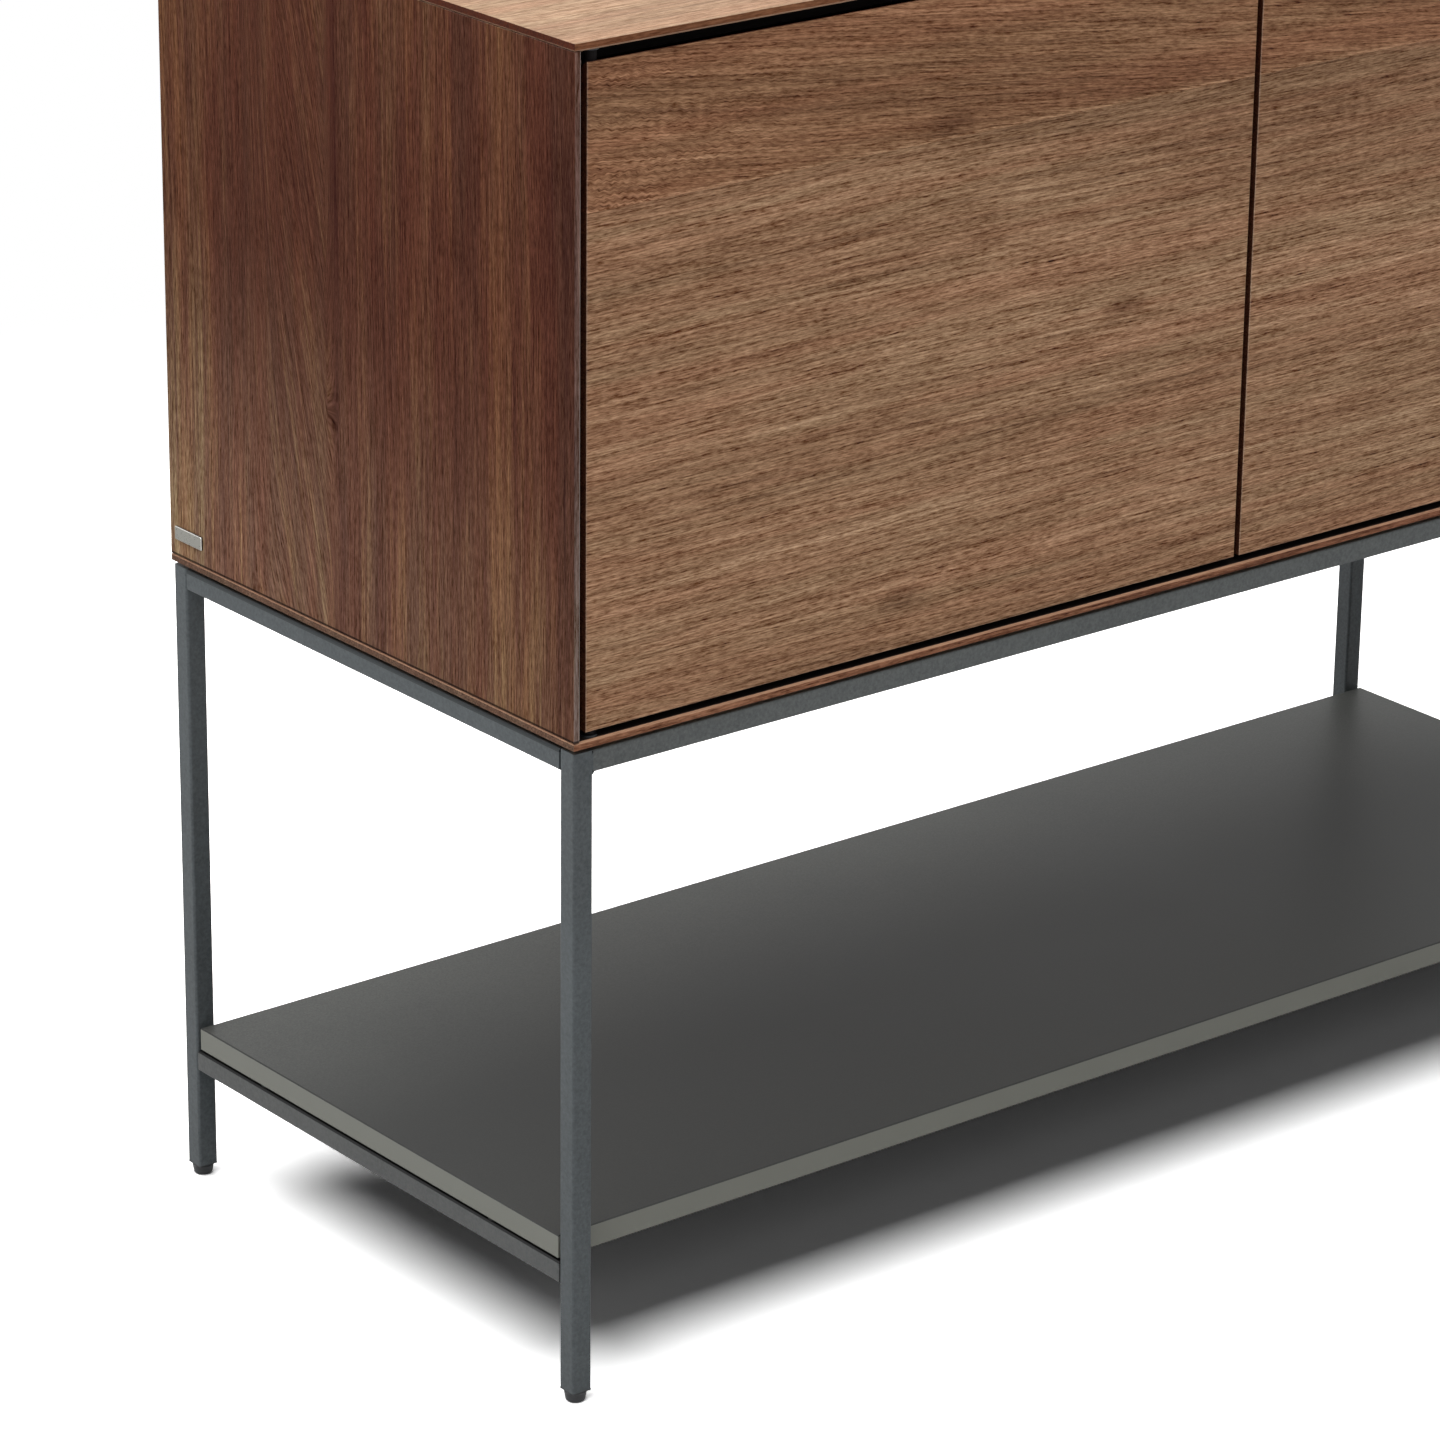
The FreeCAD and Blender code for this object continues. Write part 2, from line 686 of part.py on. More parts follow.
def latch():
    # housing on the partition's side, bored from the front for the plunger and its spring
    body = new_body("right_latch_housing")
    face = sketch_on(body, "face", "YZ_Plane", "board / 2")
    rectangle(
        face, latch_front, f"{latch_height} - latch_tall / 2",
        f"{latch_front} + latch_length", f"{latch_height} + latch_tall / 2",
    )
    pad(body, face, "latch_width")
    ends = [latch_front, f"{latch_front} + latch_length"]
    dress(
        body, "Fillet", "latch_corner",
        lambda box: near(box.XMin, "board / 2 + latch_width")
        and any(flat_at(box.YMin, box.YMax, y) for y in ends),
    )
    bore = circles(
        sketch_on(body, "bore", "XZ_Plane", f"-{latch_front}"), [(latch_x, latch_height)],
        "plunger_radius + plunger_play",
    )
    pocket(body, bore, "plunger_bore_depth", backwards=True)
    holes = circles(
        sketch_on(body, "screws", "YZ_Plane", "board / 2 + latch_width"),
        latch_screw_places(), "latch_screw_radius + fitting_play",
    )
    pocket(body, holes, "latch_width", backwards=True)
    place(body, z=case_floor)
    keep(body, "right_latch_housing")
    opposite("left_latch_housing", body)

    screw = new_body("latch_screw")
    reach = "(latch_width + latch_screw_length)"
    turned(screw, outline(sketch_on(screw, "profile", "XZ_Plane"), [
        ("0", f"-{reach}"), ("latch_screw_radius", f"-{reach}"), ("latch_screw_radius", "0"),
        ("latch_screw_head", "0"), ("latch_screw_radius", "latch_screw_crown"), ("0", "latch_screw_crown"),
    ]))
    places = []
    for y, z in latch_screw_places():
        height = f"{case_floor} + {z}"
        places.append(("board / 2 + latch_width", y, height, along_x))
        places.append(("-board / 2 - latch_width", y, height, against_x))
    copies("latch_screws", screw, places)

    plunger = new_body("right_latch_plunger")
    turned(plunger, outline(sketch_on(plunger, "profile", "XZ_Plane"), [
        ("0", "0"), ("tip_radius - tip_edge", "0"), ("tip_radius", "tip_edge"), ("tip_radius", "tip_length"),
        ("plunger_radius", "tip_length"), ("plunger_radius", "plunger_length"),
        ("0", "plunger_length"),
    ]))
    place(plunger, latch_x, tip_front, f"{case_floor} + {latch_height}", along_y)
    opposite("left_latch_plunger", keep(plunger, "right_latch_plunger"))

    strike = doc.addObject("Part::Box", "right_strike_plate")
    tie(strike, Length="strike_wide", Width="strike_thick", Height="strike_long")
    height = f"{case_floor} + {latch_height}"
    place(strike, f"{latch_x} - strike_wide / 2", door_back, f"{height} - strike_long / 2")
    opposite("left_strike_plate", keep(strike, "right_strike_plate"))

    # compression spring between the plunger's end and the bottom of the bore
    spring = new_body("right_latch_spring")
    space = f"({latch_front} + plunger_bore_depth - {tip_front} - plunger_length)"
    wire = sketch_on(spring, "wire", "XZ_Plane")
    rectangle(wire, "spring_radius - spring_wire / 2", "0", "spring_radius + spring_wire / 2", "spring_wire")
    coil = spring.newObject("PartDesign::AdditiveHelix", "right_latch_spring_coil")
    coil.Profile = wire
    coil.ReferenceAxis = (wire, ["V_Axis"])
    coil.Mode = 0
    tie(coil, Pitch="spring_pitch", Height=f"{space} - spring_wire - 2 * spring_play")
    place(spring, latch_x, f"{tip_front} + plunger_length + spring_play", height, along_y)
    opposite("left_latch_spring", keep(spring, "right_latch_spring"))


def side_plate():
    # plain bevelled plate low down at the rear of the left side
    body = new_body("side_plate")
    face = sketch_on(body, "face", "YZ_Plane")
    rectangle(face, "0", "0", "plate_long", "plate_tall")
    pad(body, face, "plate_thick")
    dress(body, "Fillet", "plate_corner", lambda box: box.YLength < 0.001 and box.ZLength < 0.001)
    dress(body, "Chamfer", "plate_bevel", lambda box: flat_at(box.XMin, box.XMax, "0"))
    place(
        body, f"-{side} - plate_thick", f"{back} - plate_rear_inset - plate_long",
        f"{case_floor} + plate_height",
    )
    keep(body, "side_plate")


# ---- frame of square tube ----

def square_tube(label, length, x, y, z, turn=upright, holes=()):
    # tube along its own Z, centred; holes are (distance from the middle, radius, through) on its -Y wall
    body = new_body(label)
    section = sketch_on(body, "section", "XY_Plane", f"-{length} / 2")
    rectangle(section, "-tube / 2", "-tube / 2", "tube / 2", "tube / 2")
    rectangle(section, f"-{bore_side} / 2", f"-{bore_side} / 2", f"{bore_side} / 2", f"{bore_side} / 2")
    pad(body, section, length)
    dress(
        body, "Fillet", "tube_corner",
        lambda box: near(box.ZLength, length)
        and near(abs(box.XMin), "tube / 2") and near(abs(box.YMin), "tube / 2"),
    )
    for number, (along, radius, depth) in enumerate(holes):
        drilled = circles(sketch_on(body, f"drill_{number}", "XZ_Plane", "tube / 2"), [("0", along)], radius)
        pocket(body, drilled, depth, backwards=True)
    place(body, x, y, z, turn)
    return keep(body, label)


def corner_places():
    for end, x in (("left", f"(-{leg_x})"), ("right", leg_x)):
        for face, y in (("front", f"(-{leg_y})"), ("back", leg_y)):
            yield end, face, x, y


def legs():
    for end, face, x, y in corner_places():
        square_tube(f"{face}_{end}_leg", "frame_height", x, y, "foot_height + frame_height / 2")


def rails():
    # a rail's own Z runs along it and its own -Y wall faces the floor
    across = FreeCAD.Rotation(FreeCAD.Vector(0, 1, 0), FreeCAD.Vector(0, 0, 1), FreeCAD.Vector(1, 0, 0))
    forth = FreeCAD.Rotation(FreeCAD.Vector(-1, 0, 0), FreeCAD.Vector(0, 0, 1), FreeCAD.Vector(0, 1, 0))
    for face, y in (("front", f"(-{leg_y})"), ("back", leg_y)):
        square_tube(f"{face}_top_rail", long_rail, "0", y, top_rail_z, across)
    set_hole = "(set_screw_radius + hole_play)"
    end_holes = [(f"{s}({side_rail} / 2 - set_screw_inset)", set_hole, "2 * tube_wall") for s in ("-", "")]
    shelf_holes = [(f"{s}shelf_screw_span", "(shelf_screw_radius + hole_play)", "tube") for s in ("-", "")]
    for end, x in (("left", f"(-{leg_x})"), ("right", leg_x)):
        square_tube(f"{end}_top_rail", side_rail, x, "0", top_rail_z, forth, end_holes)
        square_tube(f"{end}_bottom_rail", side_rail, x, "0", low_rail_z, forth, end_holes + shelf_holes)


def leg_fittings():
    # caps let into the tops of the legs
    cap = doc.addObject("Part::Box", "leg_cap")
    tie(cap, Length=f"{bore_side} - 2 * cap_play", Width=f"{bore_side} - 2 * cap_play", Height="cap_thick")
    half = f"({bore_side} / 2 - cap_play)"
    floor = f"{frame_top} - cap_thick"
    tops = [(f"{x} - {half}", f"{y} - {half}", floor, upright) for _, _, x, y in corner_places()]
    copies("leg_top_caps", cap, tops)
    # flanged plug in the lower end, bored for the foot's stem
    plug = new_body("plug")
    inner = f"({bore_side} / 2 - insert_play)"
    block = rectangle(sketch_on(plug, "block", "XY_Plane"), f"-{inner}", f"-{inner}", inner, inner)
    pad(plug, block, "insert_length")
    rim = "(tube / 2 - flange_inset)"
    flange = rectangle(sketch_on(plug, "flange", "XY_Plane"), f"-{rim}", f"-{rim}", rim, rim)
    below = pad(plug, flange, "insert_flange")
    below.Reversed = True
    doc.recompute()
    mouth = sketch_on(plug, "bore", "XY_Plane", "-insert_flange")
    pocket(plug, circles(mouth, [("0", "0")], "stem_radius + stem_play"), "insert_length + insert_flange")
    copies("leg_nut_inserts", plug, [(x, y, "foot_height", upright) for _, _, x, y in corner_places()])


def feet():
    # glide with a rim at its foot, on a stem that screws into the leg; the glide stops just under the insert
    glide_top = "(foot_height - insert_flange - glide_gap)"
    for end, face, x, y in corner_places():
        glide = new_body(f"{face}_{end}_foot")
        turned(glide, outline(sketch_on(glide, "profile", "XZ_Plane"), [
            ("0", "0"), ("glide_foot_radius - glide_rim", "0"), ("glide_foot_radius", "glide_rim"),
            ("glide_top_radius", f"{glide_top} - glide_edge"), ("glide_top_radius - glide_edge", glide_top),
            ("0", glide_top),
        ]))
        mouth = sketch_on(glide, "socket", "XY_Plane", glide_top)
        socket = circles(mouth, [("0", "0")], "stem_radius + fitting_play")
        pocket(glide, socket, "stem_hold + fitting_play", backwards=True)
        place(glide, x, y)
        keep(glide, f"{face}_{end}_foot")
        stem = new_body(f"{face}_{end}_foot_stem")
        turned(stem, outline(sketch_on(stem, "profile", "XZ_Plane"), [
            ("0", "-stem_hold"), ("stem_radius", "-stem_hold"), ("stem_radius", "stem_length - stem_point"),
            ("stem_radius - stem_point", "stem_length"), ("0", "stem_length"),
        ]))
        place(stem, x, y, glide_top)
        keep(stem, f"{face}_{end}_foot_stem")


def rail_joints():
    # spigots welded to the legs carry the side rails; a screw from below locks each
    spigot = new_body("spigot")
    inner = f"({bore_side} / 2 - spigot_play)"
    section = rectangle(sketch_on(spigot, "section", "XZ_Plane"), f"-{inner}", f"-{inner}", inner, inner)
    pad(spigot, section, "spigot_length")
    thread = circles(
        sketch_on(spigot, "thread", "XY_Plane", f"-{inner}"),
        [("0", "-set_screw_inset - rail_seam")], "set_screw_radius + fitting_play",
    )
    pocket(spigot, thread, "set_screw_hold + drill_over")
    half_turn = FreeCAD.Rotation(z_axis, 180)
    levels = [top_rail_z, low_rail_z]
    face_y = f"({leg_y} - tube / 2)"
    places, screws = [], []
    for x in both_ways(leg_x):
        for z in levels:
            places.append((x, face_y, z, upright))
            places.append((x, f"-{face_y}", z, half_turn))
            for y in both_ways(f"({face_y} - rail_seam - set_screw_inset)"):
                screws.append((x, y, f"{z} - tube / 2", upright))
    copies("rail_spigots", spigot, places)
    # headless screw, level with the underside of the rail
    screw = new_body("set_screw")
    shank = circles(sketch_on(screw, "shank", "XY_Plane"), [("0", "0")], "set_screw_radius")
    pad(screw, shank, f"tube / 2 - {inner} + set_screw_hold")
    socket = hexagon(sketch_on(screw, "socket", "XY_Plane"), "set_screw_socket")
    pocket(screw, socket, "set_screw_radius")
    copies("rail_set_screws", screw, screws)
    welds()


def welds():
    # fillet welds under the ends of the front and back rails; a bead's own corner is at X = Z = 0
    bead = new_body("weld_bead")
    section = sketch_on(bead, "section", "XZ_Plane")
    outline(section, [("0", "0"), ("weld_leg", "0"), ("0", "-weld_leg")])
    pad(bead, section, "tube - 2 * tube_corner", middle=True)
    # weld ground flush, which fills the rounding of a leg beside the rail; its corner is at X = Y = 0
    block = doc.addObject("Part::Box", "weld_block")
    tie(block, Length="tube_corner", Width="tube_corner", Height="tube - 2 * tube_corner")
    place(block, "-tube_corner", "-tube_corner")
    rounding = doc.addObject("Part::Cylinder", "weld_rounding")
    tie(rounding, Radius="tube_corner", Height="tube - 2 * tube_corner")
    place(rounding, "-tube_corner", "-tube_corner")
    fill = doc.addObject("Part::Cut", "weld_fill")
    fill.Base, fill.Tool = block, rounding
    left, right, low = f"-{long_rail} / 2", f"{long_rail} / 2", f"({frame_top} - tube)"
    beads, fills = [], []
    for y in both_ways(leg_y):
        beads.append((left, y, low, upright))
        beads.append((right, y, low, FreeCAD.Rotation(z_axis, 180)))
        for x, face, angle in ((left, "+", 0), (left, "-", -90), (right, "+", 90), (right, "-", 180)):
            turn = FreeCAD.Rotation(z_axis, angle)
            fills.append((x, f"{y} {face} tube / 2", f"{low} + tube_corner", turn))
    group = doc.addObject("Part::Compound", "rail_weld_beads")
    group.Links = linked("weld_bead", bead, beads) + linked("weld_fill", fill, fills)
    keep(group, "rail_weld_beads")


def hexagon(sketch, radius):
    # corners at the radius, one of them on the sketch's own U axis
    half, rise = f"{radius} / 2", f"{radius} * sqrt(3) / 2"
    return outline(sketch, [
        (radius, "0"), (half, rise), (f"-{half}", rise), (f"-{radius}", "0"), (f"-{half}", f"-{rise}"),
        (half, f"-{rise}"),
    ])


def button_screw(name, reach):
    # coned head below its own Z = 0, shank above, hexagonal socket in the head
    screw = new_body(name)
    radius, head, tall = f"{name}_radius", f"{name}_head_radius", f"{name}_head"
    turned(screw, outline(sketch_on(screw, "profile", "XZ_Plane"), [
        ("0", f"-{tall}"), (f"{head} - {tall} / 2", f"-{tall}"), (head, "0"),
        (radius, "0"), (radius, reach), ("0", reach),
    ]))
    socket = hexagon(sketch_on(screw, "socket", "XY_Plane", f"-{tall}"), radius)
    pocket(screw, socket, f"{tall} - socket_floor")
    return screw


def case_fixings():
    # tabs welded on the top rails reach inwards under the case; a screw goes up through each
    tab = new_body("tab")
    plan = sketch_on(tab, "plan", "XY_Plane")
    rectangle(plan, "-tab_lap", "-tab_wide / 2", "tab_reach", "tab_wide / 2")
    circles(plan, [("case_screw_reach", "0")], "case_screw_radius + hole_play")
    pad(tab, plan, "frame_gap")
    screw = button_screw("case_screw", "(frame_gap + case_screw_hold)")
    inner_x, inner_y = f"({leg_x} - tube / 2)", f"({leg_y} - tube / 2)"
    tabs, screws = [], []
    for sign, turn in (("", 180), ("-", 0)):
        for y in both_ways("tab_side"):
            tabs.append((f"{sign}{inner_x}", y, frame_top, FreeCAD.Rotation(z_axis, turn)))
            screws.append((f"{sign}({inner_x} - case_screw_reach)", y))
    for sign, turn in (("", -90), ("-", 90)):
        for x in both_ways("tab_long"):
            tabs.append((x, f"{sign}{inner_y}", frame_top, FreeCAD.Rotation(z_axis, turn)))
            screws.append((x, f"{sign}({inner_y} - case_screw_reach)"))
    copies("rail_tabs", tab, tabs)
    copies("case_screws", screw, [(x, y, frame_top, upright) for x, y in screws])
    return screws


def lower_shelf():
    body = new_body("lower_shelf")
    plan = sketch_on(body, "plan", "XY_Plane")
    half_x = f"({leg_x} + tube / 2 - lower_shelf_end_inset)"
    half_y = f"({leg_y} - tube / 2 - lower_shelf_leg_gap)"
    rectangle(plan, f"-{half_x}", f"-{half_y}", half_x, half_y)
    pad(body, plan, "lower_shelf_board")
    dress(
        body, "Chamfer", "lower_shelf_arris",
        lambda box: flat_at(box.ZMin, box.ZMax, "0") or flat_at(box.ZMin, box.ZMax, "lower_shelf_board"),
    )
    spots = [(x, y) for x in both_ways(leg_x) for y in both_ways("shelf_screw_span")]
    pilots = circles(sketch_on(body, "pilots", "XY_Plane"), spots, "shelf_screw_radius + screw_play")
    pocket(body, pilots, "shelf_screw_hold + drill_over")
    place(body, z=shelf_floor)
    keep(body, "lower_shelf")
    washer = new_body("shelf_washer")
    ring = sketch_on(washer, "ring", "XY_Plane")
    circles(ring, [("0", "0")], "shelf_pad_radius")
    circles(ring, [("0", "0")], "shelf_screw_radius + hole_play")
    pad(washer, ring, "shelf_pad")
    copies("shelf_pads", washer, [(x, y, "lower_rail_height + tube", upright) for x, y in spots])
    screw = button_screw("shelf_screw", "(tube + shelf_pad + shelf_screw_hold)")
    copies("lower_shelf_screws", screw, [(x, y, "lower_rail_height", upright) for x, y in spots])


level_board("top_panel", lambda depth: f"(case_height - ({depth}))", inward=False)
bottom = level_board("bottom_panel", lambda depth: f"({depth})", inward=True)
side_board()
partition()
back_panel()
inner_shelf()
shelf_pins()
dowels()
cams()
cam_bolts()
door()
pivots()
latch()
side_plate()
legs()
rails()
leg_fittings()
feet()
rail_joints()
fixings = case_fixings()
lower_shelf()

# pilot holes for the case screws, from below into the bottom panel
pilots = circles(sketch_on(bottom, "pilots", "XY_Plane"), fixings, "case_screw_radius + screw_play")
pocket(bottom, pilots, "case_screw_hold + drill_over")

doc.recompute()
faults = [item.Name for item in doc.Objects if {"Invalid", "Error"} & set(item.State)]
if faults:
    raise RuntimeError(f"these objects failed: {faults}")
for item in parts:
    if item.Shape.isNull() or not item.Shape.isValid() or not item.Shape.Solids:
        raise RuntimeError(f"{item.Label} has no valid solid")

os.makedirs("parts", exist_ok=True)
for item in parts:
    item.Shape.exportStep(f"parts/{item.Label}.step")
print(len(parts), "sub-parts written")
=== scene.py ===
import json
import math

import bpy
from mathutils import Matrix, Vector


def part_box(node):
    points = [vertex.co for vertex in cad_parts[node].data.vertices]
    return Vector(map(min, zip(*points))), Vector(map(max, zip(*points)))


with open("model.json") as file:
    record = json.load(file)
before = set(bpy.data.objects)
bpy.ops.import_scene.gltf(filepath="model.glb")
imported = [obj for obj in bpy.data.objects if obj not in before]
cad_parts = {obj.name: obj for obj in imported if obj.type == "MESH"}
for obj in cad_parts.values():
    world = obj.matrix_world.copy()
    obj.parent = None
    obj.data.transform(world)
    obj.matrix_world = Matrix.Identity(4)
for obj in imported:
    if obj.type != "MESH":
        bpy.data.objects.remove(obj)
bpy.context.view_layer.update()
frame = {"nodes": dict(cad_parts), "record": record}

nodes = frame["nodes"]
print("credenza: frame loaded,", len(nodes), "nodes")


# small helpers for node trees

def newFinish(name):
    finish = bpy.data.materials.new(name)
    finish.use_nodes = True
    return finish, finish.node_tree, finish.node_tree.nodes["Principled BSDF"]


def addNode(tree, kind, sockets=None, **settings):
    node = tree.nodes.new(kind)
    for name, value in settings.items():
        setattr(node, name, value)
    for name, value in (sockets or {}).items():
        if isinstance(value, bpy.types.NodeSocket):
            tree.links.new(value, node.inputs[name])
        else:
            node.inputs[name].default_value = value
    return node


def calculate(tree, operation, first, second=0.0):
    return addNode(tree, "ShaderNodeMath", {0: first, 1: second}, operation=operation).outputs[0]


def plus(tree, first, second):
    return calculate(tree, "ADD", first, second)


def minus(tree, first, second):
    return calculate(tree, "SUBTRACT", first, second)


def times(tree, first, second):
    return calculate(tree, "MULTIPLY", first, second)


def blend(tree, amount, first, second):
    return addNode(tree, "ShaderNodeMix", {0: amount, 2: first, 3: second}).outputs[0]


def remap(tree, value, low, high, newLow=0.0, newHigh=1.0, smooth=False):
    sockets = {"Value": value, "From Min": low, "From Max": high, "To Min": newLow, "To Max": newHigh}
    kind = "SMOOTHSTEP" if smooth else "LINEAR"
    return addNode(tree, "ShaderNodeMapRange", sockets, interpolation_type=kind).outputs["Result"]


def span(start, end, margins):
    # middle and half width of a stretch, as within takes them, with a margin at either end
    start = start + margins[0]
    end = end + margins[1]
    return (start + end) / 2, (end - start) / 2


def within(tree, value, stretch):
    # 1 where the value is within the stretch, and 0 elsewhere
    sockets = {0: value, 1: stretch[0], 2: stretch[1]}
    return addNode(tree, "ShaderNodeMath", sockets, operation="COMPARE").outputs[0]


def split(tree, vector):
    return addNode(tree, "ShaderNodeSeparateXYZ", {0: vector}).outputs


def join(tree, x, y, z=0.0):
    return addNode(tree, "ShaderNodeCombineXYZ", {"X": x, "Y": y, "Z": z}).outputs[0]


def length(tree, vector):
    return addNode(tree, "ShaderNodeVectorMath", {0: vector}, operation="LENGTH").outputs["Value"]


def tone(red, green, blue):
    return (red, green, blue, 1.0)


def mixColour(tree, amount, first, second, mode="MIX"):
    node = addNode(tree, "ShaderNodeMix", data_type="RGBA", blend_type=mode)
    for socket, value in ((node.inputs[0], amount), (node.inputs[6], first), (node.inputs[7], second)):
        if isinstance(value, bpy.types.NodeSocket):
            tree.links.new(value, socket)
        else:
            socket.default_value = value
    return node.outputs[2]


def noise(tree, where, cells, detail=2.0, roughness=0.5):
    # noise with its own number of cells to the metre along each axis
    scaled = addNode(tree, "ShaderNodeMapping", {"Vector": where, "Scale": cells})
    sockets = {"Vector": scaled.outputs[0], "Scale": 1.0, "Detail": detail, "Roughness": roughness}
    return addNode(tree, "ShaderNodeTexNoise", sockets).outputs["Fac"]


def objectSpace(tree):
    return addNode(tree, "ShaderNodeTexCoord").outputs["Object"]


def objectNormal(tree):
    return addNode(tree, "ShaderNodeTexCoord").outputs["Normal"]


def faceAxis(along, across):
    return ({"X", "Y", "Z"} - {along, across}).pop()


def grainSpace(tree, along, across):
    # X runs with the grain, Y across it on the face and Z into the board
    place = split(tree, objectSpace(tree))
    return join(tree, place[along], place[across], place[faceAxis(along, across)])


# a surface turned further than this from the board's face is one of its edges, or an arris
facingLimits = {"edge": 0.6, "arris": 0.8}


def edgeAndArris(tree, facing):
    # two masks: 1 on the edges, and 1 on the arrises
    edge = calculate(tree, "LESS_THAN", facing, facingLimits["edge"])
    return edge, minus(tree, calculate(tree, "LESS_THAN", facing, facingLimits["arris"]), edge)


# walnut veneer; colours are for a sanded and lacquered face, and each pattern has its cells to the
# metre with the grain, across it and into the board
walnut = {
    "deep": tone(0.129, 0.063, 0.032),
    "middle": tone(0.288, 0.166, 0.091),
    "light": tone(0.510, 0.335, 0.202),
    "lightness": (0.05, 0.50, 1.05),         # what the figure says where the wood is so coloured
    "rosy": tone(1.05, 0.95, 0.95),          # tint where the wood is redder
    "rosyPatches": (2.2, 42, 42),
    "rosyFrom": (0.40, 0.62),                # a pair called From: the noise starts to show, and is full
    "drift": (1.1, 5, 5),
    "wander": 0.03,                          # how far the grain drifts, in metres
    "rings": 105,                            # year lines to the metre across the grain
    "ringSway": (0.9, 8, 8),
    "ringSwing": 5.0,                        # how many lines a sway moves them
    "ringSharpness": 3.0,
    "ringFade": (6.0, 55, 55),
    "ringFadeFrom": (0.42, 0.68),
    "ringWeight": 0.30,
    "streaks": (1.8, 95, 95),
    "streaksFrom": (0.56, 0.72),
    "streakWeight": 0.22,
    "layers": [((0.7, 15, 15), 0.62), ((6, 230, 230), 0.42), ((170, 26, 26), 0.10)],
    "grit": [((7, 430, 430), 0.9), ((26, 700, 700), 2.3), ((130, 900, 900), 2.6)],
    "gritTint": (1.0, 1.22, 1.42),           # how strongly the grit shows in red, green and blue
    "pores": (18, 600, 600),
    "poresFrom": (0.58, 0.66),
    "poreDepth": 0.20,
    "contrast": 1.0,
    "shineFrom": (0.2, 0.8),
    "roughness": (0.56, 0.42),               # of the dark wood and of the light
    "specular": 0.10,
    "lightRelief": 0.4,                      # how much the figure stands out beside the grit
    "bumpStrength": 0.6,
    "bump": 0.00014,
    "edge": tone(0.75, 0.62, 0.56),          # tint on the narrow edges
    "arris": tone(0.62, 0.55, 0.50),         # painted highlight: the arrises are coloured pale
    "arrisWeight": 0.65,
    "cast": tone(1, 1, 1),                   # tint where the figure asks for one, such as the partly painted floor light at the sides' foot
    # painted shade: near black in the rebates behind the doors, and a darker tint in a seam
    "revealTone": tone(0.012, 0.009, 0.008),
    "seamTint": tone(0.25, 0.25, 0.25),
}


def layered(tree, grain, layers):
    # weighted sum of noises about nought
    total = 0.0
    for cells, weight in layers:
        wave = minus(tree, noise(tree, grain, cells, detail=3, roughness=0.65), 0.5)
        total = plus(tree, total, times(tree, wave, weight))
    return total


def leaf(tree, place, look, shift):
    # one leaf of veneer: returns how light it is from 0 to 1, and its fine grit about 1
    moved = addNode(tree, "ShaderNodeMapping", {"Vector": place, "Location": shift}).outputs[0]
    axes = split(tree, moved)
    drift = minus(tree, noise(tree, moved, look["drift"]), 0.5)
    across = plus(tree, axes["Y"], times(tree, drift, look["wander"]))
    grain = join(tree, axes["X"], across, axes["Z"])
    # year lines: sharp on one side, fading out on the other, and coming and going along the grain
    swing = times(tree, noise(tree, grain, look["ringSway"], detail=3, roughness=0.6), look["ringSwing"])
    phase = plus(tree, times(tree, across, look["rings"]), swing)
    ring = calculate(tree, "POWER", calculate(tree, "FRACT", phase), look["ringSharpness"])
    fade = noise(tree, grain, look["ringFade"], detail=3, roughness=0.6)
    fade = remap(tree, fade, *look["ringFadeFrom"], 0.0, -look["ringWeight"])
    streaks = noise(tree, grain, look["streaks"], detail=3, roughness=0.6)
    streaks = remap(tree, streaks, *look["streaksFrom"], 0.0, look["streakWeight"])
    figure = layered(tree, grain, look["layers"])
    for part in (times(tree, ring, fade), streaks):
        figure = plus(tree, figure, part)
    light = plus(tree, times(tree, figure, look["contrast"]), 0.5)
    pores = noise(tree, grain, look["pores"], detail=1)
    pores = remap(tree, pores, *look["poresFrom"], 0.0, -look["poreDepth"])
    grit = plus(tree, layered(tree, grain, look["grit"]), pores)
    return light, plus(tree, times(tree, grit, look["contrast"]), 1.0)


def plainFigure(tree, place, look, shift):
    return (*leaf(tree, place, look, shift), 0.0)


def veneerColour(tree, place, look, light, grit, cast):
    deepAt, middleAt, lightAt = look["lightness"]
    colour = mixColour(tree, remap(tree, light, deepAt, middleAt), look["deep"], look["middle"])
    colour = mixColour(tree, remap(tree, light, middleAt, lightAt), colour, look["light"])
    rosy = noise(tree, place, look["rosyPatches"], detail=2, roughness=0.6)
    colour = mixColour(tree, remap(tree, rosy, *look["rosyFrom"]), colour, look["rosy"], "MULTIPLY")
    shades = [remap(tree, grit, 0.0, 1.0, 1.0 - strength, 1.0) for strength in look["gritTint"]]
    for shade in shades:
        shade.node.clamp = False
    colour = mixColour(tree, 1.0, colour, join(tree, *shades), "MULTIPLY")
    return mixColour(tree, cast, colour, look["cast"], "MULTIPLY")


def edgeTones(tree, colour, look, along, across):
    normal = split(tree, objectNormal(tree))
    edge, arris = edgeAndArris(tree, calculate(tree, "ABSOLUTE", normal[faceAxis(along, across)]))
    # the edges that the grain runs out of can have a tint of their own
    atEnd = calculate(tree, "ABSOLUTE", normal[along])
    atEnd = calculate(tree, "GREATER_THAN", atEnd, facingLimits["edge"])
    edgeTint = mixColour(tree, atEnd, look["edge"], look.get("endEdge", look["edge"]))
    colour = mixColour(tree, edge, colour, edgeTint, "MULTIPLY")
    # painted highlight: the arrises are coloured pale
    return mixColour(tree, times(tree, arris, look["arrisWeight"]), colour, look["arris"])


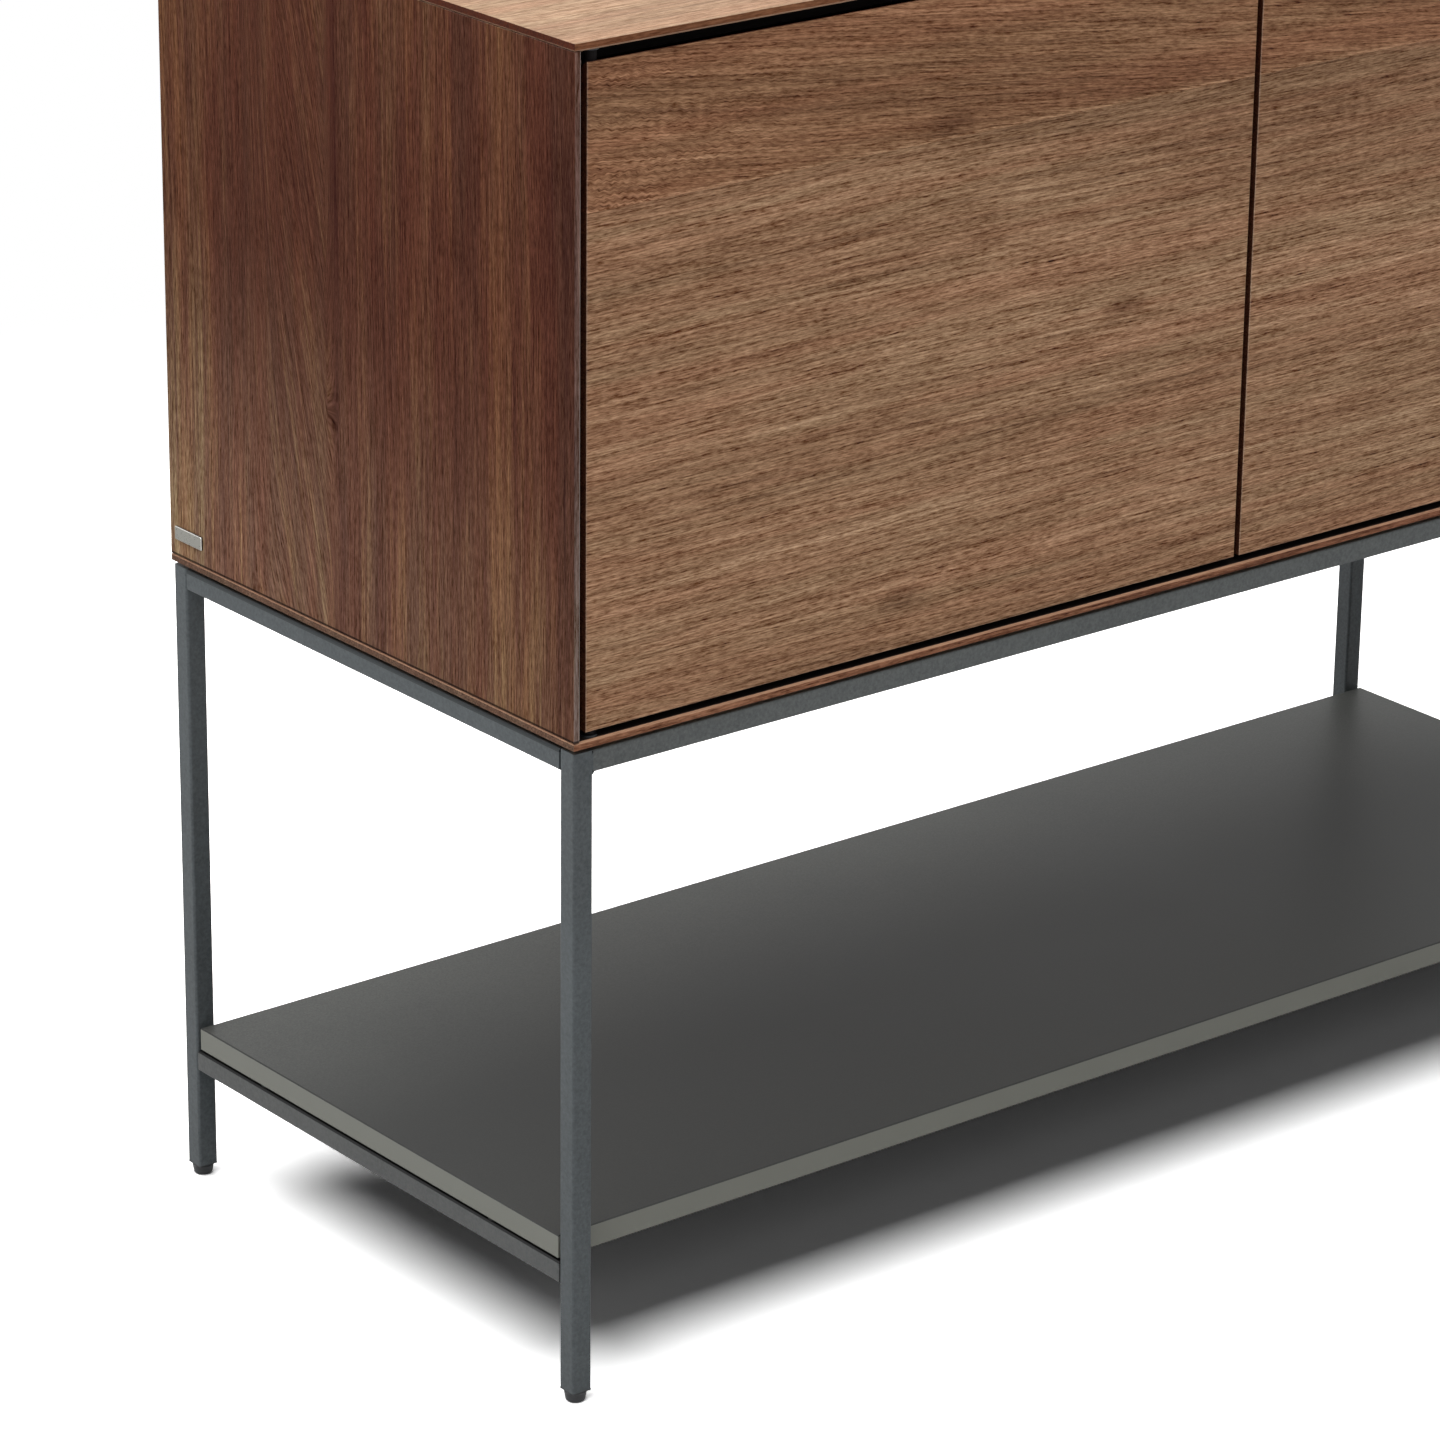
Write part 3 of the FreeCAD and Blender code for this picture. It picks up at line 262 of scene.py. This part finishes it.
def darkPlaces(tree, colour, look, thickness):
    # painted shade: the rebates that the doors close into are coloured near black, and a seam is darkened
    point = split(tree, objectSpace(tree))
    if "reveal" in look:
        inBoard = within(tree, calculate(tree, "ABSOLUTE", point[thickness]), look["reveal"])
        painted = times(tree, inBoard, within(tree, point["Y"], look["revealDepth"]))
        colour = mixColour(tree, painted, colour, look["revealTone"])
    if "seam" in look:
        colour = mixColour(tree, within(tree, point["Z"], look["seam"]), colour, look["seamTint"], "MULTIPLY")
    return colour


def walnutVeneer(name, along, across, shift=(0, 0, 0), figure=plainFigure, **changes):
    look = {**walnut, **changes}
    finish, tree, shader = newFinish(name)
    place = grainSpace(tree, along, across)
    light, grit, cast = figure(tree, place, look, shift)
    colour = veneerColour(tree, place, look, light, grit, cast)
    colour = edgeTones(tree, colour, look, along, across)
    colour = darkPlaces(tree, colour, look, faceAxis(along, across))
    tree.links.new(colour, shader.inputs["Base Color"])
    roughness = remap(tree, light, *look["shineFrom"], *look["roughness"])
    tree.links.new(roughness, shader.inputs["Roughness"])
    height = plus(tree, times(tree, light, look["lightRelief"]), grit)
    sockets = {"Height": height, "Strength": look["bumpStrength"], "Distance": look["bump"]}
    tree.links.new(addNode(tree, "ShaderNodeBump", sockets).outputs[0], shader.inputs["Normal"])
    shader.inputs["Specular IOR Level"].default_value = look["specular"]
    return finish


# the doors are cut from one sheet, laid from two leaves that meet in a level joint; places are in
# metres, as in the part
doorSheet = {
    "joint": 0.853,                  # height of the joint
    "line": (0.0009, 0.0009),        # the pale glue line above it, as middle and half thickness
    "lineWeight": 0.6,
    "lineLight": 0.95,
    "shadeFrom": (-0.32, 0.02),      # the wood below it is darker, more and further down to the right
    "shadeDepth": (-0.016, -0.11),
    "shade": (0.16, 0.25),
    "upperShift": (7.0, 3.0, 0.0),   # the upper leaf comes from another place of the figure
    "upperDarker": 0.03,
    "slope": 0.11,                   # its grain falls to the right
    "curlFrom": (-0.56, -0.34),      # it is curly near the left end and fades to plain
    "curlPatches": (5, 22, 22),
    "curlPatchesFrom": (0.42, 0.56),
    "curlLength": 0.0075,            # from one wave of the grain to the next, and how far it swings
    "curlSwing": 0.0005,
    "curlWaver": (20, 110, 110),
    "curlWaverTurns": 16.0,          # in radians
    "curl": (190, 210, 210),
    "curlWeight": 0.75,
    "knots": [(-0.120, 0.7065), (-0.281, 0.864), (-0.317, 0.533)],
    "knotHalf": (0.0336, 0.0156),    # half width and half height
    "knotShade": 0.27,
    "knotGrit": 0.5,                 # how much of the shade also darkens the grit
}


def curlyLeaf(tree, place, look, shift):
    axes = split(tree, place)
    near = remap(tree, axes["X"], *doorSheet["curlFrom"], 1.0, 0.0)
    patches = noise(tree, place, doorSheet["curlPatches"])
    near = times(tree, near, remap(tree, patches, *doorSheet["curlPatchesFrom"]))
    waver = times(tree, noise(tree, place, doorSheet["curlWaver"], detail=1), doorSheet["curlWaverTurns"])
    turns = plus(tree, times(tree, axes["X"], 2 * math.pi / doorSheet["curlLength"]), waver)
    wave = times(tree, calculate(tree, "SINE", turns), doorSheet["curlSwing"])
    tilted = plus(tree, axes["Y"], times(tree, axes["X"], doorSheet["slope"]))
    curled = plus(tree, tilted, times(tree, wave, near))
    upperPlace = join(tree, axes["X"], curled, axes["Z"])
    upperShift = [start + more for start, more in zip(shift, doorSheet["upperShift"])]
    light, grit = leaf(tree, upperPlace, look, upperShift)
    curl = minus(tree, noise(tree, upperPlace, doorSheet["curl"], detail=1), 0.5)
    curl = times(tree, times(tree, curl, doorSheet["curlWeight"]), near)
    return minus(tree, light, doorSheet["upperDarker"]), plus(tree, grit, curl)


def knotShade(tree, axes, centre):
    halfWidth, halfHeight = doorSheet["knotHalf"]
    offX = calculate(tree, "DIVIDE", minus(tree, axes["X"], centre[0]), halfWidth)
    offY = calculate(tree, "DIVIDE", minus(tree, axes["Y"], centre[1]), halfHeight)
    away = length(tree, join(tree, offX, offY))
    return remap(tree, away, 0.0, 1.0, doorSheet["knotShade"], 0.0, smooth=True)


def doorFigure(tree, place, look, shift):
    axes = split(tree, place)
    height = minus(tree, axes["Y"], doorSheet["joint"])
    upper = calculate(tree, "GREATER_THAN", height, 0.0)
    low, lowGrit = leaf(tree, place, look, shift)
    high, highGrit = curlyLeaf(tree, place, look, shift)
    light = blend(tree, upper, low, high)
    grit = blend(tree, upper, lowGrit, highGrit)
    depth = remap(tree, axes["X"], *doorSheet["shadeFrom"], *doorSheet["shadeDepth"])
    shade = remap(tree, axes["X"], *doorSheet["shadeFrom"], *doorSheet["shade"])
    under = remap(tree, height, depth, 0.0, 0.0, shade)
    light = minus(tree, light, times(tree, under, calculate(tree, "LESS_THAN", height, 0.0)))
    for centre in doorSheet["knots"]:
        knot = knotShade(tree, axes, centre)
        light = minus(tree, light, knot)
        grit = minus(tree, grit, times(tree, knot, doorSheet["knotGrit"]))
    line = times(tree, within(tree, height, doorSheet["line"]), doorSheet["lineWeight"])
    return blend(tree, line, light, doorSheet["lineLight"]), grit, upper


# the sides: straight grain in wide bands, with lines that lean and run into a dark stripe
sideSheet = {
    "stripe": 0.028,                 # place and half width of the dark stripe
    "stripeHalf": 0.010,
    "stripeShade": 0.22,
    "leanIn": (0.0, 0.012),          # how far behind the stripe the lines start to lean, and stop
    "leanOut": (0.066, 0.11),
    "meet": 0.60,                    # height where the leaning lines reach it
    "slope": 0.24,
    # painted light, partly: the paler, greyer foot stands for the white floor's light on it and the leaf's
    # own tone
    "foot": (0.50, 0.78),            # the wood is paler and greyer towards the foot, most at the rear
    "footFrom": (-0.24, 0.20),
    "footWeight": (0.26, 0.96),
}


def sideFigure(tree, place, look, shift):
    axes = split(tree, place)
    behind = minus(tree, axes["Y"], sideSheet["stripe"])
    leanIn = remap(tree, behind, *sideSheet["leanIn"])
    inside = times(tree, leanIn, remap(tree, behind, *sideSheet["leanOut"], 1.0, 0.0))
    rise = minus(tree, axes["X"], sideSheet["meet"])
    lean = times(tree, times(tree, rise, inside), -sideSheet["slope"])
    bent = join(tree, axes["X"], plus(tree, axes["Y"], lean), axes["Z"])
    light, grit = leaf(tree, bent, look, shift)
    off = calculate(tree, "ABSOLUTE", behind)
    stripe = remap(tree, off, 0.0, sideSheet["stripeHalf"], sideSheet["stripeShade"], 0.0, smooth=True)
    foot = remap(tree, axes["X"], *sideSheet["foot"], 1.0, 0.0, smooth=True)
    foot = times(tree, foot, remap(tree, axes["Y"], *sideSheet["footFrom"], *sideSheet["footWeight"]))
    return minus(tree, light, stripe), grit, foot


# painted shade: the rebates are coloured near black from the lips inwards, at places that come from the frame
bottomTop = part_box("bottom_panel")[1].z
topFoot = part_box("top_panel")[0].z
sideLow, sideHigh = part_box("right_side_panel")
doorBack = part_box("right_door")[1].y
margins = {
    "depth": (0.0014, 0.0034),               # from the front edges to the back of the doors
    "top": (-0.00015, 0.00005),              # from the board's face to where the side ends in it
    "bottom": (-0.00005, 0.00045),
    "side": (-0.0023, -0.0057),              # the second number leaves out the lip
    "seam": (-0.0001, 0.0015),               # shade where the side stands on the bottom
}
rebateDepth = span(sideLow.y, doorBack, margins["depth"])
# falling on them as well as the leaf's own tone; the edge tint makes their front lips lighter again
# painted shade, partly: the sides take a darker, redder copy of the walnut, which stands for the less light
reddishBlack = {
    "deep": tone(0.040, 0.013, 0.009),
    "middle": tone(0.078, 0.029, 0.0165),
    "light": tone(0.165, 0.082, 0.036),
    "rosy": tone(1.05, 0.90, 0.88),
    "cast": tone(2.2, 3.3, 3.7),
    "edge": tone(1.9, 3.0, 4.0),
}
finishes = {
    # painted shade: the doors' edges are coloured dark, for the shade in the narrow gaps
    "doors": walnutVeneer(
        "walnutDoors", "X", "Z", figure=doorFigure, cast=tone(0.85, 0.76, 0.71), edge=tone(0.20, 0.12, 0.11),
        arrisWeight=0.1,
    ),
    # painted shade: the top takes a darker copy of the walnut, to offset the stronger light from above
    "top": walnutVeneer(
        "walnutTop", "X", "Y", (0.7, 0.31, 0.2), deep=tone(0.108, 0.070, 0.048),
        middle=tone(0.240, 0.152, 0.090), light=tone(0.369, 0.250, 0.150), specular=0.08, contrast=0.7,
        edge=tone(0.71, 0.46, 0.35), endEdge=tone(0.24, 0.072, 0.02), arris=tone(0.47, 0.28, 0.19),
        arrisWeight=0.45, reveal=span(topFoot, sideHigh.z, margins["top"]), revealDepth=rebateDepth,
    ),
    "bottom": walnutVeneer(
        "walnutBottom", "X", "Y", (1.9, 0.77, 0.4), edge=tone(0.74, 0.55, 0.52),
        endEdge=tone(0.34, 0.31, 0.32), arris=tone(0.40, 0.22, 0.14),
        reveal=span(sideLow.z, bottomTop, margins["bottom"]), revealDepth=rebateDepth,
    ),
    "side": walnutVeneer(
        "walnutSide", "Z", "Y", (3.1, 0.13, 0.6), sideFigure, rings=150, contrast=0.95, specular=0.02,
        layers=[((0.8, 13, 13), 1.5), ((7, 230, 230), 1.0)],
        reveal=span(sideLow.x, sideHigh.x, margins["side"]), revealDepth=rebateDepth,
        seam=span(sideLow.z, sideLow.z, margins["seam"]), **reddishBlack,
    ),
    "inside": walnutVeneer("walnutInside", "X", "Z", (4.3, 0.57, 0.9)),
    "partition": walnutVeneer("walnutPartition", "Z", "Y", (5.2, 0.27, 0.3)),
    "dowel": walnutVeneer(
        "beechDowel", "X", "Y", deep=tone(0.42, 0.27, 0.16), middle=tone(0.56, 0.39, 0.25),
        light=tone(0.66, 0.49, 0.34), contrast=0.5, edge=tone(1, 1, 1), arrisWeight=0.0,
    ),
}

# coated metal, lacquer, bare metals and plastics share one recipe; speck is how far the colour goes
# darker and lighter, in so many cells to the metre
# painted shade: near black in the narrow gaps where the shelf lies on the lower rails
seamBlack = tone(0.004, 0.004, 0.004)
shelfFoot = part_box("lower_shelf")[0].z
coats = {
    "powderCoat": {
        "colour": tone(0.076, 0.086, 0.091), "speck": 0.26, "cells": 420,
        "roughness": (0.34, 0.48), "specular": 0.16, "bump": 0.00006,
    },
    # painted light and shade: the shelf's edges are coloured far lighter than its face, which lies in the
    # case's
    # shade, and a dark line is painted on its arris
    "shelfLacquer": {
        "colour": tone(0.032, 0.033, 0.031), "speck": 0.50, "cells": 800,
        "roughness": (0.38, 0.48), "specular": 0.18, "bump": 0.00002,
        "edge": tone(0.172, 0.175, 0.153), "arris": tone(0.030, 0.031, 0.030),
        # painted light and shade: darker under the middle of the case, lighter towards the back
        "paler": (-0.04, 0.23, 0.70, 1.80),       # two depths, and the tint at each
        "seam": span(shelfFoot, shelfFoot, (-0.0004, 0.0010)), "seamTone": seamBlack,
    },
    "blackNylon": {
        "colour": tone(0.014, 0.015, 0.017), "speck": 0.10, "cells": 700,
        "roughness": (0.38, 0.52), "bump": 0.00003,
    },
    "rubberPad": {
        "colour": tone(0.020, 0.020, 0.020), "speck": 0.20, "cells": 500,
        "roughness": (0.70, 0.85), "bump": 0.00005,
    },
    "blackSteel": {
        "colour": tone(0.012, 0.010, 0.010), "speck": 0.15, "cells": 500,
        "roughness": (0.55, 0.70), "specular": 0.05, "bump": 0.00002,
    },
    # painted light and shade: the plate's edges are coloured dark for their shadow, and its arrises bright
    # for
    # their highlight
    "nickelPlate": {
        "colour": tone(0.27, 0.265, 0.24), "speck": 0.05, "cells": 300,
        "roughness": (0.22, 0.34), "bump": 0.00001, "metal": 1.0,
        "face": "X", "edge": tone(0.10, 0.095, 0.09), "arris": tone(0.60, 0.59, 0.56),
    },
    "zincHardware": {
        "colour": tone(0.52, 0.53, 0.55), "speck": 0.14, "cells": 260,
        "roughness": (0.30, 0.46), "bump": 0.00002, "metal": 1.0,
    },
    "springSteel": {
        "colour": tone(0.36, 0.36, 0.37), "speck": 0.10, "cells": 400,
        "roughness": (0.24, 0.36), "bump": 0.00001, "metal": 1.0,
    },
}
everyCoat = {"cloudCells": (7, 7, 7), "cloudShare": 0.3, "cloudFrom": (0.3, 0.7), "bumpStrength": 0.7}


def coated(name, **changes):
    look = {**coats[name], **changes}
    finish, tree, shader = newFinish(name)
    place = objectSpace(tree)
    axes = split(tree, place)
    fine = noise(tree, place, (look["cells"],) * 3, detail=2, roughness=0.6)
    cloud = noise(tree, place, everyCoat["cloudCells"], detail=3, roughness=0.6)
    amount = blend(tree, everyCoat["cloudShare"], fine, cloud)
    amount = remap(tree, amount, *everyCoat["cloudFrom"])
    shades = [1 - look["speck"], 1 + look["speck"]]
    low, high = [tone(*(part * shade for part in look["colour"][:3])) for shade in shades]
    colour = mixColour(tree, amount, low, high)
    # painted light and shade along the shelf's depth
    if "paler" in look:
        paler = remap(tree, axes["Y"], *look["paler"], smooth=True)
        colour = mixColour(tree, 1.0, colour, join(tree, paler, paler, paler), "MULTIPLY")
    # edges and arrises take tones of their own: painted light and shade on the shelf and the plate
    if "edge" in look:
        normal = split(tree, objectNormal(tree))[look.get("face", "Z")]
        edge, arris = edgeAndArris(tree, calculate(tree, "ABSOLUTE", normal))
        colour = mixColour(tree, edge, colour, look["edge"])
        colour = mixColour(tree, arris, colour, look["arris"])
    # painted shade in a narrow gap, and under a board that lies close over a rail
    if "seam" in look:
        colour = mixColour(tree, within(tree, axes["Z"], look["seam"]), colour, look["seamTone"])
    tree.links.new(colour, shader.inputs["Base Color"])
    tree.links.new(remap(tree, amount, 0.0, 1.0, *look["roughness"]), shader.inputs["Roughness"])
    sockets = {"Height": fine, "Strength": everyCoat["bumpStrength"], "Distance": look["bump"]}
    tree.links.new(addNode(tree, "ShaderNodeBump", sockets).outputs[0], shader.inputs["Normal"])
    shader.inputs["Metallic"].default_value = look.get("metal", 0.0)
    shader.inputs["Specular IOR Level"].default_value = look.get("specular", 0.5)
    return finish


for name in coats:
    finishes[name] = coated(name)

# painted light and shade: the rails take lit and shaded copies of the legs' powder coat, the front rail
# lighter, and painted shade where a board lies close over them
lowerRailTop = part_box("left_bottom_rail")[1].z
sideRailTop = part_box("left_top_rail")[1].z
railCoats = {
    "lowerRails": {
        "colour": tone(0.080, 0.083, 0.082),
        "seam": span(lowerRailTop, lowerRailTop, (-0.0012, 0.0006)), "seamTone": seamBlack,
    },
    "frontRail": {"colour": tone(0.099, 0.106, 0.106)},
    "sideRails": {
        "seam": span(sideRailTop, sideRailTop, (-0.0031, 0.0001)), "seamTone": tone(0.030, 0.034, 0.036),
    },
}
for name, changes in railCoats.items():
    finishes[name] = coated("powderCoat", **changes)
print("credenza: finishes made,", len(finishes))

# which finish each of the record's slots takes, and the nodes that have one of their own
slotFinish = {
    "walnut_veneer": "inside",
    "back_board": "inside",
    "shelf_lacquer": "shelfLacquer",
    "frame_powder_coat": "powderCoat",
    "zinc_hardware": "zincHardware",
    "nickel_plate": "nickelPlate",
    "beech_dowel": "dowel",
    "black_nylon": "blackNylon",
    "rubber_pad": "rubberPad",
    "black_steel": "blackSteel",
    "spring_steel": "springSteel",
}
nodeFinish = {
    "left_door": "doors",
    "right_door": "doors",
    "top_panel": "top",
    "bottom_panel": "bottom",
    "left_side_panel": "side",
    "right_side_panel": "side",
    "centre_partition": "partition",
    "left_bottom_rail": "lowerRails",
    "right_bottom_rail": "lowerRails",
    "front_top_rail": "frontRail",
    "left_top_rail": "sideRails",
    "right_top_rail": "sideRails",
}
slotOfNode = {part["node"]: part["material_slot"] for part in frame["record"]["subparts"]}
for name, item in nodes.items():
    chosen = nodeFinish.get(name) or slotFinish[slotOfNode[name]]
    item.data.materials.clear()
    item.data.materials.append(finishes[chosen])
print("credenza: nodes dressed")


def seenRay(tree):
    # 1 for what the camera sees, straight, in a mirror or through glass
    ray = addNode(tree, "ShaderNodeLightPath").outputs
    indirect = calculate(tree, "MAXIMUM", ray["Is Glossy Ray"], ray["Is Transmission Ray"])
    return calculate(tree, "MAXIMUM", ray["Is Camera Ray"], indirect)


# floor, light and camera
studio = {
    "floorSize": 24,
    "floorColour": tone(0.80, 0.80, 0.80),
    "floorSeen": tone(1.68, 1.68, 1.68),      # what the camera sees, so the lit floor reads white
    "whiteFrom": (1.3, 2.2),                  # distances over which the floor turns plain white
    "ambient": tone(0.045, 0.045, 0.045),
    "white": tone(1, 1, 1),
}
lamps = {
    "overhead": {"place": (-0.92, 0.08, 3.5), "size": (5.2, 5.2), "power": 318, "aim": (-0.3, 0.0, 0.4)},
    "front": {"place": (1.2, -4.5, 2.8), "size": (3.5, 2.5), "power": 12, "aim": (0, 0, 0.5)},
    "left": {"place": (-4.5, 0.5, 1.4), "size": (2.5, 2.5), "power": 2, "aim": (-0.6, 0, 0.4)},
}
view = {
    "place": (-2.78523, -3.11954, 1.89106),
    "turn": (69.0795, -0.58939, -38.49713),
    "lens": 146.526,
    "sensor": 36,
    "far": 100,
}

bpy.ops.object.select_all(action="DESELECT")
bpy.ops.mesh.primitive_plane_add(size=studio["floorSize"])
floor = bpy.context.object
floor.name = "floor"
floorFinish, tree, shader = newFinish("floorPaper")
cameraRay = addNode(tree, "ShaderNodeLightPath").outputs["Is Camera Ray"]
floorColour = mixColour(tree, cameraRay, studio["floorColour"], studio["floorSeen"])
tree.links.new(floorColour, shader.inputs["Base Color"])
shader.inputs["Roughness"].default_value = 1.0
shader.inputs["Specular IOR Level"].default_value = 0.0
away = remap(tree, length(tree, objectSpace(tree)), *studio["whiteFrom"], smooth=True)
far = times(tree, away, seenRay(tree))
paper = addNode(tree, "ShaderNodeEmission", {"Color": studio["white"], "Strength": 1.0})
mixed = addNode(tree, "ShaderNodeMixShader", {0: far, 1: shader.outputs[0], 2: paper.outputs[0]})
tree.links.new(mixed.outputs[0], tree.nodes["Material Output"].inputs["Surface"])
floor.data.materials.append(floorFinish)

world = bpy.data.worlds.new("studioWorld")
bpy.context.scene.world = world
world.use_nodes = True
tree = world.node_tree
surround = mixColour(tree, seenRay(tree), studio["ambient"], studio["white"])
tree.links.new(surround, tree.nodes["Background"].inputs["Color"])

for name, lamp in lamps.items():
    data = bpy.data.lights.new(name + "Light", "AREA")
    data.shape = "RECTANGLE"
    data.size, data.size_y = lamp["size"]
    data.energy = lamp["power"]
    light = bpy.data.objects.new(name + "Light", data)
    light.location = lamp["place"]
    direction = Vector(lamp["aim"]) - Vector(lamp["place"])
    light.rotation_euler = direction.to_track_quat("-Z", "Y").to_euler()
    bpy.context.scene.collection.objects.link(light)

lens = bpy.data.cameras.new("camera")
lens.lens = view["lens"]
lens.sensor_width = view["sensor"]
lens.clip_end = view["far"]
camera = bpy.data.objects.new("camera", lens)
camera.location = view["place"]
camera.rotation_euler = [math.radians(angle) for angle in view["turn"]]
bpy.context.scene.collection.objects.link(camera)
bpy.context.scene.camera = camera
bpy.context.scene.view_settings.view_transform = "Standard"
print("credenza: studio set")
